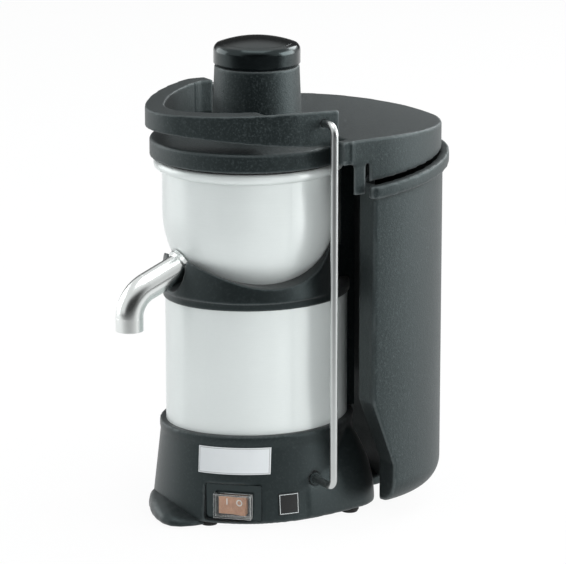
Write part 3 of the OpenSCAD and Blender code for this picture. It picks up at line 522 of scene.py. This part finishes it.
def smooth_range(nt, value, lo, hi, to_lo, to_hi):
    """Value between lo and hi, eased into to_lo to to_hi."""
    n = nt.nodes.new("ShaderNodeMapRange")
    n.interpolation_type = "SMOOTHSTEP"
    nt.links.new(value, n.inputs["Value"])
    for socket, v in (("From Min", lo), ("From Max", hi), ("To Min", to_lo), ("To Max", to_hi)):
        n.inputs[socket].default_value = v
    return n.outputs[0]


def combine(nt, op, a, b):
    n = nt.nodes.new("ShaderNodeMath")
    n.operation = op
    nt.links.new(a, n.inputs[0])
    nt.links.new(b, n.inputs[1])
    return n.outputs[0]


def blend(nt, fac, a, b):
    """Shader a, or shader b where fac is one."""
    n = nt.nodes.new("ShaderNodeMixShader")
    for i, v in enumerate((fac, a, b)):
        nt.links.new(v, n.inputs[i])
    return n.outputs[0]


def world():
    """Soft studio: white walls on two sides and a pale ceiling, dimmer at eye level between them."""
    w = bpy.data.worlds.new("studio")
    bpy.context.scene.world = w
    w.use_nodes = True
    nt = w.node_tree
    nt.nodes.clear()
    out = nt.nodes.new("ShaderNodeOutputWorld")
    toward = nt.nodes.new("ShaderNodeTexCoord").outputs["Generated"]
    along_bay = nt.nodes.new("ShaderNodeVectorMath")
    along_bay.operation = "DOT_PRODUCT"
    nt.links.new(toward, along_bay.inputs[0])
    along_bay.inputs[1].default_value = (*BAY, 0.0)
    split = nt.nodes.new("ShaderNodeSeparateXYZ")
    nt.links.new(toward, split.inputs[0])
    ahead = smooth_range(nt, along_bay.outputs["Value"], 0.55, 0.95, 0.0, 1.0)
    behind = smooth_range(nt, along_bay.outputs["Value"], -0.95, -0.60, 0.92, 0.0)
    low = smooth_range(nt, split.outputs[2], 0.35, 0.80, 1.0, 0.25)
    dim = combine(nt, "MULTIPLY", combine(nt, "ADD", ahead, behind), low)
    soft, walls, white = (nt.nodes.new("ShaderNodeBackground") for _ in range(3))
    soft.inputs[0].default_value = (0.93, 0.97, 1.0, 1)
    soft.inputs[1].default_value = AMBIENT
    nt.links.new(smooth_range(nt, dim, 0.0, 1.0, WALL, BAY_LEVEL), walls.inputs[1])
    path = nt.nodes.new("ShaderNodeLightPath").outputs
    mirrored = combine(nt, "MAXIMUM", path["Is Glossy Ray"], path["Is Transmission Ray"])
    unseen = blend(nt, mirrored, soft.outputs[0], walls.outputs[0])
    nt.links.new(blend(nt, path["Is Camera Ray"], unseen, white.outputs[0]), out.inputs["Surface"])


def area(name, at, aim, size, watts, glossy=True):
    """White rectangular lamp, with or without a reflection of itself."""
    data = bpy.data.lights.new(name, "AREA")
    data.shape = "RECTANGLE"
    data.size, data.size_y = size
    data.energy = watts
    lamp = bpy.data.objects.new(name, data)
    C.objects.link(lamp)
    lamp.location = at
    lamp.rotation_euler = (Vector(aim) - Vector(at)).to_track_quat("-Z", "Y").to_euler()
    lamp.visible_glossy = glossy


stage_floor()
world()
area("key_right", (1.36, 2.48, 0.95), (0, 0, 0.2), (2.5, 1.9), 82)
area("fill_left", (-2.3, -1.8, 0.95), (0, 0, 0.2), (2.4, 1.9), 34)
area("fill_front", (2.5, -0.2, 1.0), (0, 0, 0.2), (1.8, 1.6), 32, glossy=False)
area("back_high", (-0.9, 2.5, 1.9), (0, 0.05, 0.36), (1.8, 1.2), 42)
area("top", (0.3, -0.3, 2.8), (0, 0, 0.3), (2.0, 2.0), 26)

scene = bpy.context.scene
cam_data = bpy.data.cameras.new("camera")
cam = bpy.data.objects.new("camera", cam_data)
C.objects.link(cam)
scene.camera = cam
PHI, ELEV, DIST = math.radians(60), math.radians(14), 3.300
SCALE, PICTURE_W = 1062.5, 566            # pixels to the metre at the axis, and the picture's width
AXIS_COL, FOOT_ROW = 249, 505             # where the axis meets the worktop in the picture
MIDDLE_COL, MIDDLE_ROW = 283, 282
SENSOR = 36.0
right = Vector((math.cos(PHI), math.sin(PHI), 0))
look = Vector((-math.sin(PHI) * math.cos(ELEV), math.cos(PHI) * math.cos(ELEV), -math.sin(ELEV)))
target = Vector((0, AXIS_Y, 0)) + right * ((MIDDLE_COL - AXIS_COL) / SCALE)
target.z = (FOOT_ROW - MIDDLE_ROW) / (SCALE * math.cos(ELEV))
cam.location = target - look * DIST
cam.rotation_euler = look.to_track_quat("-Z", "Y").to_euler()
cam_data.sensor_width = SENSOR
cam_data.lens = SENSOR * SCALE * DIST / PICTURE_W
cam_data.clip_end = 60

scene.view_settings.view_transform = "Standard"
